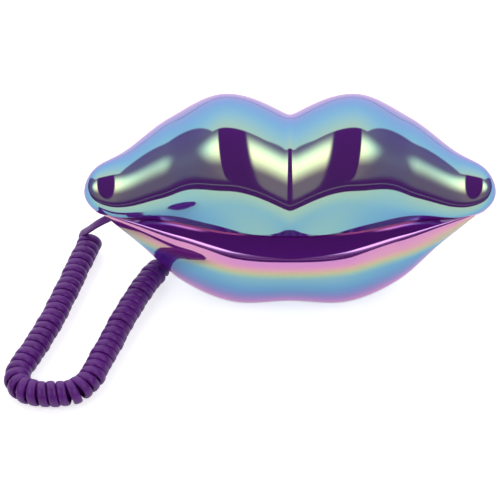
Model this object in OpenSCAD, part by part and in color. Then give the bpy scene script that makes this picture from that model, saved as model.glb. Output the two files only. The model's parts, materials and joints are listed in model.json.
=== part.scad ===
// Telephone shaped like a pair of lips: the upper lip is the handset, the lower lip the base.
// Millimetres, +X right, +Y back, +Z up, origin on the table under the middle of the body.

/* [Overall] */
// Length of the handset from tip to tip
phone_l = 210; // [195:1:225]
// Length of the base from corner to corner
base_l = 191; // [182:1:200]
// Height of the handset's rim above the table
mouth_z = 50; // [48:0.5:54]
// Gap that shows between handset and base
mouth_gap = 0.6; // [0.3:0.1:1]
// Wall of the handset casing
handset_wall = 2.6; // [2:0.1:3]
// Wall of the base casing
base_wall = 2.6; // [2:0.1:3]

/* [Upper lip] */
// Roll radius at the crease
upper_mid_roll = 34; // [31:0.5:37]
// Roll radius at the lobe
upper_lobe_roll = 34; // [31:0.5:37]
// Roll radius at the flank
upper_flank_roll = 29; // [27:0.5:31]
// Roll radius at the wing
upper_wing_roll = 20.5; // [19:0.5:23]
// Roll radius near the tip
upper_end_roll = 11.5; // [10:0.5:13]
// Height of the roll's centre above the rim at the crease
upper_mid_rise = 8; // [6:0.5:12]
// Height of the roll's centre above the rim at the lobe
upper_lobe_rise = 18.5; // [15:0.5:21]
// Height of the roll's centre above the rim at the flank
upper_flank_rise = 8.5; // [6:0.5:11]
// Height of the roll's centre above the rim at the wing
upper_wing_rise = 2.5; // [1:0.5:5]
// Height of the roll's centre above the rim near the tip
upper_end_rise = 7.5; // [5:0.5:9]
// Height of the tip itself above the rim
tip_rise = 9; // [7:0.5:11]

/* [Lip line] */
// Front of the mouth line in the middle
line_mid_y = -28.5; // [-31:0.5:-26]
// Front of the mouth line at the lobe
line_lobe_y = -25; // [-27:0.5:-23]
// Front of the mouth line at the flank
line_flank_y = -17; // [-19:0.5:-15]
// Front of the mouth line at the wing
line_wing_y = -14; // [-16:0.5:-12]
// Front of the mouth line near the tip
line_end_y = -12.5; // [-14:0.5:-11]

/* [Lower lip] */
// Roll radius in the middle
lower_mid_roll = 34; // [32:0.5:36]
// Roll radius at the lobe
lower_lobe_roll = 36; // [34:0.5:38]
// Roll radius at the flank
lower_flank_roll = 25; // [23:0.5:27]
// Roll radius at the wing
lower_wing_roll = 13; // [11:0.5:15]
// Depth of the roll's centre below the mouth in the middle
lower_mid_drop = 17.5; // [16:0.5:20]
// Depth of the roll's centre below the mouth at the lobe
lower_lobe_drop = 20; // [18:0.5:22]
// Depth of the roll's centre below the mouth at the flank
lower_flank_drop = 19.5; // [17:0.5:21]
// Depth of the roll's centre below the mouth at the wing
lower_wing_drop = 8.5; // [7:0.5:10]
// How far the lower lip pouts ahead of the mouth line in the middle
lower_mid_pout = 16; // [14:0.5:18]
// How far the lower lip pouts ahead of the mouth line at the lobe
lower_lobe_pout = 17; // [15:0.5:19]

/* [Keypad] */
// Spacing of the key rows along the handset
key_row_pitch = 16; // [14:0.5:17]
// Spacing of the key columns across the handset
key_column_pitch = 14; // [12.5:0.5:14]
// Key size along the handset
key_l = 11; // [9:0.5:12]
// Key size across the handset
key_w = 9; // [8:0.5:11]
// How far a key travels
key_travel = 1.2; // [0.8:0.1:1.5]
// How far the face plate lies inside the rim
cover_recess = 2.5; // [2:0.1:3]
// Thickness of the face plate
cover_t = 2.2; // [1.8:0.1:3]
// How far a key stands proud of the face plate
key_proud = 1.6; // [1:0.1:1.8]

/* [Sound] */
// Place of the earpiece along the handset
ear_x = 62; // [59:0.5:63]
// Radius of the earpiece speaker
speaker_r = 15; // [12:0.5:16]
// Place of the mouthpiece along the handset
mic_x = -57; // [-58:0.5:-55]
// Radius of the microphone capsule
mic_r = 4.8; // [3:0.1:5.5]
// Radius of the ringer disc
ringer_r = 14; // [10:0.5:15]

/* [Hook switch] */
// How far the plunger rises when the handset is lifted
hook_travel = 4; // [3:0.5:5]
// Plunger size along the phone
hook_l = 8; // [6:0.5:9]
// Plunger size across the phone
hook_w = 5; // [4:0.5:7]

/* [Sockets] */
// Width of a cord plug
cord_plug_w = 7.7; // [7:0.1:8]
// Height of a cord plug
cord_plug_h = 6.6; // [6:0.1:7]
// Length of a cord plug inside its socket
cord_plug_l = 10; // [9:0.5:11]
// Width of the wall-line socket's opening
line_plug_w = 9.7; // [9:0.1:10.5]
// Height of the wall-line socket's opening
line_plug_h = 6.6; // [6:0.1:7.5]

/* [Cord] */
// Outer radius of the coil
coil_r = 6.75; // [6:0.25:7.5]
// Half the width of the cord where it runs straight
lead_r = 1.7; // [1.4:0.1:2]

/* [Fasteners and feet] */
// Radius of a screw's shank
screw_r = 1.3; // [1:0.1:1.5]
// Radius of a screw's head
screw_head_r = 2.6; // [2.2:0.1:3]
// Radius of a rubber foot
foot_r = 7; // [5:0.5:8]
// Height of the plate above the table
foot_h = 2; // [1.5:0.1:3]
// Thickness of the bottom plate
plate_t = 2.4; // [2:0.1:3]
// Thickness of a circuit board
board_t = 1.6; // [1:0.1:2]
// Clearance round pieces that sit in openings
fit = 0.15; // [0.1:0.05:0.25]
// Clearance of a sliding piece in its guide
slide_fit = 0.3; // [0.2:0.05:0.4]

/* [Hidden] */
STATIONS = 5;
STEP = 90 / STATIONS;
half_l = phone_l / 2;
half_base = base_l / 2;
END_T = 87;
HOLLOW_SLICES = 26;
SOLID_SLICES = 4;
BASE_HOLLOW_SLICES = 13;
BASE_SOLID_SLICES = 9;
wall_turn = 0.5;
ROLL_STEPS = 12;
SKIRT_STEPS = 3;
BAND_STEPS = 5;
fold_soft = 0.05;
tip_run = 12;
line_tip_y = -11.5;
tip_set = 6.5;
skirt_power = 1.6;
handset_hollow_t = 62;
base_hollow_t = 33;
deck_t = 3;
base_min_h = 1.2;
// Radius of the base's back lower corner
heel_r = 16;
// Play that flat pieces need beside a faceted wall
wall_slack = 0.7;
pocket_l = 40;
pocket_w = 14;
pocket_h = 13;

UPPER_ROLL = [upper_mid_roll, upper_lobe_roll, upper_flank_roll, upper_wing_roll, upper_end_roll, 0];
UPPER_RISE = [upper_mid_rise, upper_lobe_rise, upper_flank_rise, upper_wing_rise, upper_end_rise, tip_rise];
UPPER_LEAN = [-0.5, 0, -2, -3, -1.5, tip_set];
LINE_Y = [line_mid_y, line_lobe_y, line_flank_y, line_wing_y, line_end_y, line_tip_y];
LOWER_ROLL = [lower_mid_roll, lower_lobe_roll, lower_flank_roll, lower_wing_roll, 3.5, 0.5];
LOWER_DROP = [lower_mid_drop, lower_lobe_drop, lower_flank_drop, lower_wing_drop, 2.5, 0.5];
LOWER_POUT = [lower_mid_pout, lower_lobe_pout, 15, 7, 2.5, 0];
LOWER_BACK = [64, 65, 50, 20.5, 4, 2];
lower_inset = 1.5;

deck_z = mouth_z - mouth_gap;
cover_z = mouth_z + cover_recess;
cover_top = cover_z + cover_t;
flange_t = 1.2;
flange_gap = 0.2;
flange_rim = 1;
mat_z = cover_top + flange_gap + flange_t + key_travel + flange_gap;
mat_t = 1;
handset_board_z = mat_z + mat_t;
key_mid_y = 6;
function_key_x = -2.5 * key_row_pitch;
function_key_l = 6;
keypad_end_x = 1.5 * key_row_pitch + key_l / 2;
column_reach = key_column_pitch + key_w / 2;
face_mid_y = 6;
ring_w = 2;
ear_ring_r = speaker_r + ring_w;
boot_w = 2.2;
mic_boot_r = mic_r + boot_w;
boss_r = 3.5;
boss_gap = 1.5;
boss_sink = 1.2;
bore_gap = 0.05;
ear_screw_x = ear_x + ear_ring_r + boss_gap + boss_r;
mic_screw_x = mic_x - mic_boot_r - ring_w - boss_gap - boss_r;
socket_wall = 1.4;
socket_w = cord_plug_w + 2 * socket_wall;
socket_h = cord_plug_h + 2 * socket_wall;
socket_l = cord_plug_l + 3;
cover_end_x = half_l * sin(handset_hollow_t - wall_turn) - wall_slack;
// The cord's socket stands midway between the last screw's boss and the end of the face plate
handset_jack_x = -(cover_end_x + boss_r - mic_screw_x) / 2;
handset_jack_y = upper_y(upper_t(handset_jack_x));
end_screw_y = 4;
rear_screw_x = 38;
rear_screw_y = 33;
cover_boss_h = 2.4;
head_h = 1.6;
HANDSET_SCREWS = [[ear_screw_x, end_screw_y], [mic_screw_x, end_screw_y],
                  [rear_screw_x, rear_screw_y], [-rear_screw_x, rear_screw_y]];

hook_x = 36.5;
hook_y = 7;
plate_top = foot_h + plate_t;
board_z = plate_top + 8;
board_top = board_z + board_t;
pad_r = 4.5;
pad_x = 36.5;
rear_pad_x = 28;
rear_pad_y = 29.5;
PADS = [[-pad_x, -15], [pad_x, -15], [-rear_pad_x, rear_pad_y], [rear_pad_x, rear_pad_y]];
pad_seat = 1;
base_screw_x = 44;
base_screw_y = [-8, 19];
BASE_SCREWS = [for (x = [-1, 1], y = base_screw_y) [x * base_screw_x, y]];
foot_x = 33;
foot_y = [-12, 17];
FEET = [for (x = [-1, 1], y = foot_y) [x * foot_x, y]];
foot_seat = 0.6;
base_jack_x = -56;
base_jack_y = 8;
base_jack_z = 15.5;
line_jack_x = -26;
switch_body_l = 14;
SWITCH_X = [10, 28];
knob_travel = 4;
knob_l = 4;
knob_h = 4;
ballast_l = 36;
ballast_w = 22;
ballast_t = 6;
ballast_x = -20;
ballast_y = 11;
ringer_x = 18;
ringer_y = 4;

// Where the coil lies on the table, from the handset's end round to the base's end
COIL_ROUTE = [[-107, 14], [-110, 2], [-113.5, -12], [-117, -26], [-121, -41], [-126, -57], [-131.5, -71],
              [-135, -81], [-134, -89.5], [-126, -94.5], [-115, -95], [-106, -93.5], [-99.5, -86],
              [-95.5, -75], [-91.5, -63], [-87, -49], [-82.5, -36], [-77.5, -24], [-73, -14], [-69, -8]];
// The straight end from the handset's plug down to the coil, and the one from the coil to the base
HANDSET_LEAD = [[-83.5, 4, 44], [-83.5, 4, 41], [-87, 4.7, 36], [-94.5, 6.5, 30.5], [-102, 8.8, 23.5],
                [-107, 12, 18], [-109.3, 17, 14], [-109.2, 21, 10.5], [-107.7, 21.5, 7.8], [-107, 18.25, 6.6],
                [-108, 14.25, 6.6]];
BASE_LEAD = [[-64.5, 8, 16], [-68, 8, 16], [-71, 6.5, 14.8], [-71.2, 3, 13], [-69.4, -1, 10.8],
             [-68.5, -4, 9.8], [-70.5, -7, 9.8]];

KEY_NAMES = ["key_3", "key_6", "key_9", "key_hash", "key_2", "key_5", "key_8", "key_0",
             "key_1", "key_4", "key_7", "key_star"];

SHELL_COLOR = [0.45, 0.7, 0.75];
PLASTIC_COLOR = [0.3, 0.1, 0.42];
CORD_COLOR = [0.33, 0.11, 0.45];

// ---- Values along the lips: t runs from -90 at the left tip through 0 to 90 at the right tip

function spline(a, b, c, d, f) =
    b + f / 2 * (c - a + f * (2 * a - 5 * b + 4 * c - d + f * (3 * (b - c) + d - a)));
function at_station(v, i) = i < len(v) ? v[i] : 2 * v[len(v) - 1] - v[len(v) - 2];
function soft_abs(u) =
    (sqrt(u * u + fold_soft * fold_soft) - fold_soft) / (sqrt(1 + fold_soft * fold_soft) - fold_soft);
// Smooth through the middle
function along(v, t) = let(s = abs(t) / STEP, i = min(floor(s), STATIONS - 1), a = i == 0 ? v[1] : v[i - 1])
    spline(a, v[i], v[i + 1], at_station(v, i + 2), s - i);
// Folded in the middle, where the crease is, and rounded over the lobes
function folded(v, t) =
    let(s = abs(t) / STEP, i = min(floor(s), STATIONS - 1), a = i == 1 ? v[2] : v[max(i - 1, 0)])
    s < 1 ? v[0] + (v[1] - v[0]) * sin(90 * soft_abs(sin(abs(t)) / sin(STEP)))
          : spline(a, v[i], v[i + 1], at_station(v, i + 2), s - i);

// ---- Upper lip

function upper_x(t) = half_l * sin(t);
function upper_t(x) = asin(x / half_l);
function upper_r(t) = folded(UPPER_ROLL, t);
function upper_y(t) = folded([for (i = [0:STATIONS]) LINE_Y[i] + UPPER_ROLL[i] + UPPER_LEAN[i]], t);
function upper_z(t) = mouth_z + folded(UPPER_RISE, t);
// 1 along the straight rim, falling to 0 where the rim curls up into the tip
function tip_share(t) =
    let(u = max(0, (abs(upper_x(t)) - half_l + tip_run) / tip_run)) sqrt(max(0, 1 - u * u));
function rim_z(t) = upper_z(t) + (mouth_z - upper_z(t)) * tip_share(t);
function rim_front(t) = let(y = upper_y(t)) y + (along(LINE_Y, t) - y) * tip_share(t);
function rim_back(t) = upper_y(t) + upper_r(t);
function skirt(t, inset) =
    let(y0 = rim_front(t), y1 = upper_y(t) - upper_r(t), z0 = rim_z(t), z1 = upper_z(t))
    [for (k = [0:SKIRT_STEPS - 1]) let(f = k / SKIRT_STEPS)
        [y1 + (y0 - y1) * pow(1 - f, skirt_power) + inset, z0 + (z1 - z0) * f]];
function roll(y, z, r, a, b, n) =
    [for (k = [0:n]) let(q = a + (b - a) * k / n) [y - r * cos(q), z + r * sin(q)]];
function upper_outer(t) = concat(skirt(t, 0), roll(upper_y(t), upper_z(t), upper_r(t), 0, 180, ROLL_STEPS),
                                 [[rim_back(t), rim_z(t)]]);
function upper_inner(t) = abs(t) < handset_hollow_t
    ? concat([[rim_back(t) - handset_wall, rim_z(t)]],
             roll(upper_y(t), upper_z(t), upper_r(t) - handset_wall, 180, 0, ROLL_STEPS),
             [for (k = [SKIRT_STEPS - 1:-1:0]) skirt(t, handset_wall)[k]])
    : [for (k = [0:ROLL_STEPS + SKIRT_STEPS + 1]) let(f = (k + 1) / (ROLL_STEPS + SKIRT_STEPS + 3))
          [rim_back(t) + (rim_front(t) - rim_back(t)) * f, rim_z(t) + rim_arch(t) * sin(180 * f)]];
// Beyond its hollow the handset is solid, with a barely arched underside
function rim_arch(t) = 0.3 * (upper_z(t) - rim_z(t) + upper_r(t)) / upper_end_roll;
function upper_section(t) = concat(upper_outer(t), upper_inner(t));
function dome_z(x, y) = let(t = upper_t(x), r = upper_r(t) - handset_wall, d = y - upper_y(t))
    upper_z(t) + sqrt(max(1, r * r - d * d));

// A boss ends where its lowest edge is sunk into the dome
function boss_end(s) = boss_sink
    + min([for (q = [0:45:315]) dome_z(s[0] + boss_r * cos(q), s[1] + boss_r * sin(q))]);

// ---- Lower lip

function lower_x(t) = half_base * sin(t);
function lower_t(x) = asin(x / half_base);
function lower_r(t) = along(LOWER_ROLL, t);
function lower_line(t) = along(LINE_Y, t) + lower_inset;
function lower_front(t) = lower_line(t) - along(LOWER_POUT, t);
function lower_y(t) = lower_front(t) + lower_r(t);
function lower_z(t) = deck_z - along(LOWER_DROP, t);
function lower_back(t) = lower_line(t) + along(LOWER_BACK, t);
function lower_floor(t) = min(deck_z - base_min_h, max(foot_h, lower_z(t) - lower_r(t)));
// Angle of the roll at which it meets the level z
function meets(t, r, z) = -asin(min(1, max(0, (lower_z(t) - z) / r)));
function band(t, inset) = let(p = along(LOWER_POUT, t))
    [for (k = [1:BAND_STEPS]) let(f = 1 - k / BAND_STEPS)
        [lower_front(t) + p * (1 - sin(90 * f)) + inset,
         lower_z(t) + (deck_z - inset - lower_z(t)) * (1 - f)]];
function heel(t, inset) = let(h = deck_z - lower_floor(t), r = min(heel_r, h * 0.6))
    [for (k = [0:4]) let(q = -90 * k / 4)
        [lower_back(t) - r + (r - inset) * cos(q),
         lower_floor(t) + r + (r - inset * (r > heel_r - 1 ? 0 : 1)) * sin(q)]];
function lower_outer(t) = concat(
    roll(lower_y(t), lower_z(t), lower_r(t), meets(t, lower_r(t), lower_floor(t)), 0, ROLL_STEPS),
    band(t, 0), [[lower_back(t), deck_z]], heel(t, 0));
function lower_inner(t) = let(r = lower_r(t) - base_wall)
    abs(t) < base_hollow_t
    ? concat([for (k = [4:-1:0]) heel(t, base_wall)[k]],
             [[lower_back(t) - base_wall, deck_z - deck_t]],
             [for (k = [BAND_STEPS - 1:-1:0]) let(p = band(t, 0)[k])
                 [p[0] + base_wall, min(deck_z - deck_t, p[1])]],
             roll(lower_y(t), lower_z(t), r, 0, meets(t, r, lower_floor(t)), ROLL_STEPS))
    : let(n = ROLL_STEPS + BAND_STEPS + 7, a = heel(t, 0)[4], b = lower_outer(t)[0])
      [for (k = [1:n]) let(f = k / (n + 1))
          [a[0] + (b[0] - a[0]) * f, lower_floor(t) + floor_arch(t) * sin(180 * f)]];
function floor_arch(t) = min(0.5, (deck_z - lower_floor(t)) / 4);
function lower_section(t) = concat(lower_outer(t), lower_inner(t));

// ---- Lofts and tubes

// Stations from tip to tip, with a pair close together at each end of the hollow
function stations(hollow_t, inner, outer) = concat(
    [for (k = [0:outer]) -END_T + (END_T - hollow_t) * k / outer],
    [for (k = [0:inner]) (hollow_t - wall_turn) * (2 * k / inner - 1)],
    [for (k = [0:outer]) hollow_t + (END_T - hollow_t) * k / outer]);

// One closed solid through rings that all hold the same number of points
module loft(rings) {
    n = len(rings[0]);
    m = len(rings);
    sides = [for (i = [0:m - 2], j = [0:n - 1], h = [0, 1])
        let(a = i * n + j, b = i * n + (j + 1) % n, c = a + n, d = b + n) h == 0 ? [a, b, d] : [a, d, c]];
    ends = [[for (j = [n - 1:-1:0]) j], [for (j = [0:n - 1]) (m - 1) * n + j]];
    polyhedron([for (r = rings, p = r) p], concat(sides, ends));
}

function unit(v) = v / norm(v);
function cross_way(d) = abs(d[2]) > 0.9 ? unit(cross([0, 1, 0], d)) : unit(cross([0, 0, 1], d));
// A round cord swept along its route
module swept_tube(route, r, sides) {
    last = len(route) - 1;
    loft([for (i = [0:last])
        let(d = unit(route[min(i + 1, last)] - route[max(i - 1, 0)]), u = cross_way(d), w = cross(d, u))
        [for (k = [0:sides - 1]) route[i] + r * (cos(360 * k / sides) * u + sin(360 * k / sides) * w)]]);
}

module block(size, at) {
    translate([at[0] - size[0] / 2, at[1] - size[1] / 2, at[2]]) cube(size);
}

module rod(r, h, at) {
    translate(at) cylinder(r = r, h = h, $fn = 32);
}

module ring(r_out, r_in, h, at) {
    translate(at) rotate_extrude($fn = 48) translate([r_in, 0]) square([r_out - r_in, h]);
}

// A box with rounded upright edges
module soft_block(size, r, at) {
    translate([at[0], at[1], at[2]]) linear_extrude(size[2]) {
        square([size[0] - 2 * r, size[1]], center = true);
        square([size[0], size[1] - 2 * r], center = true);
        for (x = [-1, 1], y = [-1, 1])
            translate([x * (size[0] / 2 - r), y * (size[1] / 2 - r)]) circle(r = r, $fn = 24);
    }
}

// ---- Handset

module handset_shell() {
    boss_z = cover_top + cover_boss_h;
    color(SHELL_COLOR) {
        loft([for (t = stations(handset_hollow_t, HOLLOW_SLICES, SOLID_SLICES))
            [for (p = upper_section(t)) [upper_x(t), p[0], p[1]]]]);
        for (s = HANDSET_SCREWS)
            ring(boss_r, screw_r + bore_gap, boss_end(s) - boss_z, [s[0], s[1], boss_z]);
    }
}

function cover_edge() =
    let(n = 24, at = [for (k = [0:n]) -cover_end_x + 2 * cover_end_x * k / n], in = handset_wall + wall_slack)
    concat([for (x = at) [x, rim_front(upper_t(x)) + in]],
           [for (k = [n:-1:0]) [at[k], rim_back(upper_t(at[k])) - in]]);

module key_holes(grow) {
    for (c = [-1:1], r = [-1.5:1.5])
        translate([r * key_row_pitch, key_mid_y + c * key_column_pitch])
            square([key_l + 2 * grow, key_w + 2 * grow], center = true);
    for (c = [-1, 1])
        translate([function_key_x, key_mid_y + c * key_column_pitch / 2])
            square([function_key_l + 2 * grow, key_w + 2 * grow], center = true);
}

module handset_cover() {
    ear = [ear_x, face_mid_y];
    mic = [mic_x, face_mid_y];
    color(PLASTIC_COLOR) difference() {
        union() {
            translate([0, 0, cover_z]) linear_extrude(cover_t) difference() {
                polygon(cover_edge());
                key_holes(slide_fit);
                translate([handset_jack_x, handset_jack_y])
                    square([socket_h + 2 * fit, socket_w + 2 * fit], center = true);
            }
            // raised rings round the earpiece and mouthpiece, and the cradles behind them
            ring(ear_ring_r, ear_ring_r - 2, 0.8, [ear[0], ear[1], cover_z - 0.8]);
            ring(mic_boot_r + 1, mic_boot_r - 0.5, 0.8, [mic[0], mic[1], cover_z - 0.8]);
            ring(ear_ring_r, speaker_r + fit, 5, [ear[0], ear[1], cover_top]);
            ring(mic_boot_r + ring_w, mic_boot_r + fit, 4, [mic[0], mic[1], cover_top]);
            for (s = HANDSET_SCREWS) rod(boss_r, cover_boss_h, [s[0], s[1], cover_top]);
            // posts that carry the circuit board
            for (x = [-1, 1], y = [-1, 1])
                rod(post_r, handset_board_z - cover_top,
                    [x * board_post_x + board_mid_x, key_mid_y + y * board_post_y, cover_top]);
        }
        for (s = HANDSET_SCREWS) {
            rod(screw_head_r + fit, head_h + 1, [s[0], s[1], cover_z - 1]);
            rod(screw_r + fit, cover_t + cover_boss_h + 2, [s[0], s[1], cover_z - 1]);
        }
        // sound holes
        rod(1.1, cover_t + 2, [ear[0], ear[1], cover_z - 1]);
        for (k = [0:5])
            rod(1.1, cover_t + 2, [ear[0] + 4 * cos(60 * k), ear[1] + 4 * sin(60 * k), cover_z - 1]);
        for (k = [0:11])
            rod(1.1, cover_t + 2, [ear[0] + 8 * cos(30 * k), ear[1] + 8 * sin(30 * k), cover_z - 1]);
        for (k = [-1:1]) rod(0.9, cover_t + 2, [mic[0] + 3 * k, mic[1], cover_z - 1]);
    }
}

board_x0 = function_key_x - function_key_l / 2 - 4;
board_x1 = keypad_end_x + flange_rim + 6.5;
board_mid_x = (board_x0 + board_x1) / 2;
board_l = board_x1 - board_x0;
board_w = 2 * column_reach + 7;
post_r = 1.8;
post_inset = 3.5;
board_post_x = board_l / 2 - post_inset;
board_post_y = board_w / 2 - post_inset;

// A dialling key: rounded cap through the face plate, flange behind it
module key_cap(l, w, at) {
    cap_z = cover_z - key_proud;
    flange_z = cover_top + flange_gap;
    color([0.92, 0.9, 0.95]) {
        soft_block([l, w, flange_z - cap_z], 1.5, [at[0], at[1], cap_z]);
        soft_block([l + 2 * flange_rim, w + 2 * flange_rim, flange_t], 1, [at[0], at[1], flange_z]);
    }
}

// i counts down each column of four, the column nearest the front first
module dial_key(i) {
    column = floor(i / 4) - 1;
    row = 1.5 - i % 4;
    key_cap(key_l, key_w, [row * key_row_pitch, key_mid_y - column * key_column_pitch]);
}

module function_key(side) {
    key_cap(function_key_l, key_w, [function_key_x, key_mid_y + side * key_column_pitch / 2]);
}

module post_holes(r) {
    for (x = [-1, 1], y = [-1, 1])
        translate([x * board_post_x + board_mid_x, key_mid_y + y * board_post_y]) circle(r = r, $fn = 24);
}

module key_mat() {
    color([0.75, 0.75, 0.78]) translate([0, 0, mat_z]) linear_extrude(mat_t) difference() {
        translate([board_mid_x, key_mid_y]) square([board_l, board_w], center = true);
        post_holes(post_r + slide_fit);
    }
}

module handset_board() {
    color([0.1, 0.4, 0.2]) {
        block([board_l, board_w, board_t], [board_mid_x, key_mid_y, handset_board_z]);
        block([10, 8, 2], [board_mid_x, key_mid_y, handset_board_z + board_t]);
        block([6, 4, 1.6], [board_mid_x + 18, key_mid_y + 8, handset_board_z + board_t]);
    }
}

gasket_t = 1;
module earpiece_gasket() {
    color([0.15, 0.15, 0.16]) ring(speaker_r, speaker_r - 3, gasket_t, [ear_x, face_mid_y, cover_top]);
}

module earpiece_speaker() {
    z = cover_top + gasket_t;
    color([0.6, 0.6, 0.62]) translate([ear_x, face_mid_y, z]) rotate_extrude($fn = 48)
        polygon([[0, 0.6], [speaker_r - 4, 0], [speaker_r, 0], [speaker_r, 2.4], [speaker_r * 0.6, 4.5],
                 [speaker_r * 0.6, 8], [0, 8]]);
}

module microphone_boot() {
    color([0.15, 0.15, 0.16]) ring(mic_boot_r, mic_r + 0.05, 5.5, [mic_x, face_mid_y, cover_top]);
}

module microphone() {
    color([0.75, 0.75, 0.75]) rod(mic_r, 5, [mic_x, face_mid_y, cover_top + 1]);
}

// A socket that opens downwards, origin in the middle of its mouth
module cord_socket() {
    difference() {
        translate([-socket_h / 2, -socket_w / 2, 0]) cube([socket_h, socket_w, socket_l]);
        translate([-cord_plug_h / 2 - fit, -cord_plug_w / 2 - fit, -1])
            cube([cord_plug_h + 2 * fit, cord_plug_w + 2 * fit, cord_plug_l + 1.2]);
    }
}

// The plug that fits it, with its boot below the mouth
module cord_plug() {
    translate([-cord_plug_h / 2, -cord_plug_w / 2, 0]) cube([cord_plug_h, cord_plug_w, cord_plug_l]);
    translate([-cord_plug_h / 2, -cord_plug_w / 2 + 1, -3]) cube([cord_plug_h - 1, cord_plug_w - 2, 3]);
    translate([-0.5, 0, -plug_boot_l])
        cylinder(r1 = lead_r + 0.3, r2 = lead_r + 0.8, h = plug_boot_l - 2, $fn = 24);
}
plug_boot_l = 8.5;

module handset_jack() {
    color([0.2, 0.2, 0.22]) translate([handset_jack_x, handset_jack_y, cover_z]) cord_socket();
}

module handset_plug() {
    color([0.8, 0.8, 0.85]) translate([handset_jack_x, handset_jack_y, cover_z]) cord_plug();
}

module screw(at, shank) {
    color([0.7, 0.7, 0.72]) translate(at) {
        difference() {
            cylinder(r = screw_head_r, h = head_h, $fn = 32);
            for (q = [0, 90]) rotate(q) translate([-1.5, -0.35, -1]) cube([3, 0.7, 1 + head_h / 2]);
        }
        cylinder(r = screw_r, h = head_h + shank, $fn = 32);
    }
}

handset_shank = 10;
module handset_screws() {
    for (s = HANDSET_SCREWS) screw([s[0], s[1], cover_z], handset_shank);
}

// ---- Base

module base_shell() {
    boss_z = plate_top;
    color(SHELL_COLOR) difference() {
        union() {
            loft([for (t = stations(base_hollow_t, BASE_HOLLOW_SLICES, BASE_SOLID_SLICES))
                [for (p = lower_section(t)) [lower_x(t), p[0], p[1]]]]);
            for (s = BASE_SCREWS) rod(boss_r, deck_z - deck_t / 2 - boss_z, [s[0], s[1], boss_z]);
        }
        for (s = BASE_SCREWS) rod(screw_r + bore_gap, base_shank + 2, [s[0], s[1], boss_z - 1]);
        for (p = PADS) rod(pad_r + 0.05, pad_seat + 1, [p[0], p[1], deck_z - pad_seat]);
        block([hook_l + 2 * slide_fit, hook_w + 2 * slide_fit, deck_t + 2],
              [hook_x, hook_y, deck_z - deck_t - 1]);
        // pocket for the curly cord's plug, and the socket's own seat beyond it
        translate([base_jack_x - pocket_l, base_jack_y - pocket_w / 2, base_jack_z - pocket_h / 2])
            cube([pocket_l, pocket_w, pocket_h]);
        translate([base_jack_x - 1, base_jack_y - socket_w / 2 - fit, base_jack_z - socket_h / 2 - fit])
            cube([socket_l + 6, socket_w + 2 * fit, socket_h + 2 * fit]);
        // notch in the rim that the handset's plug hangs through
        translate([handset_jack_x - notch_l / 2, handset_jack_y - cord_plug_w / 2 - 1.5, deck_z - notch_h])
            cube([notch_l, 20, notch_h + 1]);
        // windows at the back for the wall-line socket and the two slide switches
        block([line_body_w + 2 * fit, 20, line_body_h + 2 * fit],
              [line_jack_x, line_face_y, board_top - fit]);
        for (x = SWITCH_X)
            block([knob_l + knob_travel + 2 * slide_fit, 30, knob_h + 2 * slide_fit],
                  [x, switch_face(x) + 15 + slide_fit, knob_z - slide_fit]);
    }
}

base_shank = 10;
notch_l = cord_plug_h + 4;
notch_h = 18;
line_body_w = line_plug_w + 4;
line_body_h = line_plug_h + 5;
line_body_l = 16;
line_face_y = lower_back(lower_t(line_jack_x)) - 1;
// A switch stands just inside the back wall where that lies nearest over its length
function switch_face(x) =
    min([for (e = [-1, 0, 1]) lower_back(lower_t(x + e * switch_body_l / 2))]) - base_wall - wall_slack;
switch_body_w = 6;
switch_body_h = 8;
knob_z = board_top + switch_body_h / 2 - knob_h / 2;

plate_end_x = half_base * sin(base_hollow_t - wall_turn) - 0.5;
function plate_front(x) =
    let(t = lower_t(x), r = lower_r(t) - base_wall) lower_y(t) - r * cos(meets(t, r, foot_h));
function plate_edge() = let(n = 16, at = [for (k = [0:n]) -plate_end_x + 2 * plate_end_x * k / n])
    concat([for (x = at) [x, plate_front(x) + wall_slack + slide_fit]],
           [for (k = [n:-1:0]) [at[k], lower_back(lower_t(at[k])) - heel_r]]);

module base_plate() {
    color([0.14, 0.1, 0.18]) difference() {
        union() {
            translate([0, 0, foot_h]) linear_extrude(plate_t) polygon(plate_edge());
            for (x = [-1, 1], y = [-1, 1])
                rod(2.5, board_z - plate_top,
                    [base_board_x + x * base_post_x, base_board_y + y * base_post_y, plate_top]);
            ring(ringer_r + 1.5, ringer_r + fit, 3, [ringer_x, ringer_y, plate_top]);
            for (x = [-1, 1]) rod(2.4, ballast_t - 1, [ballast_x + x * ballast_l / 3, ballast_y, plate_top]);
        }
        for (s = BASE_SCREWS) {
            rod(screw_head_r + fit, head_h + 1, [s[0], s[1], foot_h - 1]);
            rod(screw_r + fit, plate_t + 2, [s[0], s[1], foot_h - 1]);
        }
        for (f = FEET) rod(foot_r + 0.05, foot_seat + 1, [f[0], f[1], foot_h - 1]);
        // sound holes under the ringer
        for (k = [-2:2]) block([1.6, 14, plate_t + 2], [ringer_x + 4 * k, ringer_y, foot_h - 1]);
    }
}

module rubber_feet() {
    for (f = FEET) color([0.08, 0.08, 0.09]) translate([f[0], f[1], 0]) rotate_extrude($fn = 40)
        polygon([[0, 0], [foot_r - 1, 0], [foot_r, 1], [foot_r, foot_h + foot_seat],
                 [0, foot_h + foot_seat]]);
}

module seat_pads() {
    h = cover_z - deck_z + pad_seat;
    for (p = PADS)
        color([0.08, 0.08, 0.09]) translate([p[0], p[1], deck_z - pad_seat]) rotate_extrude($fn = 40)
        polygon([[0, 0], [pad_r, 0], [pad_r, h - 0.8], [pad_r - 0.8, h], [0, h]]);
}

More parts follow.
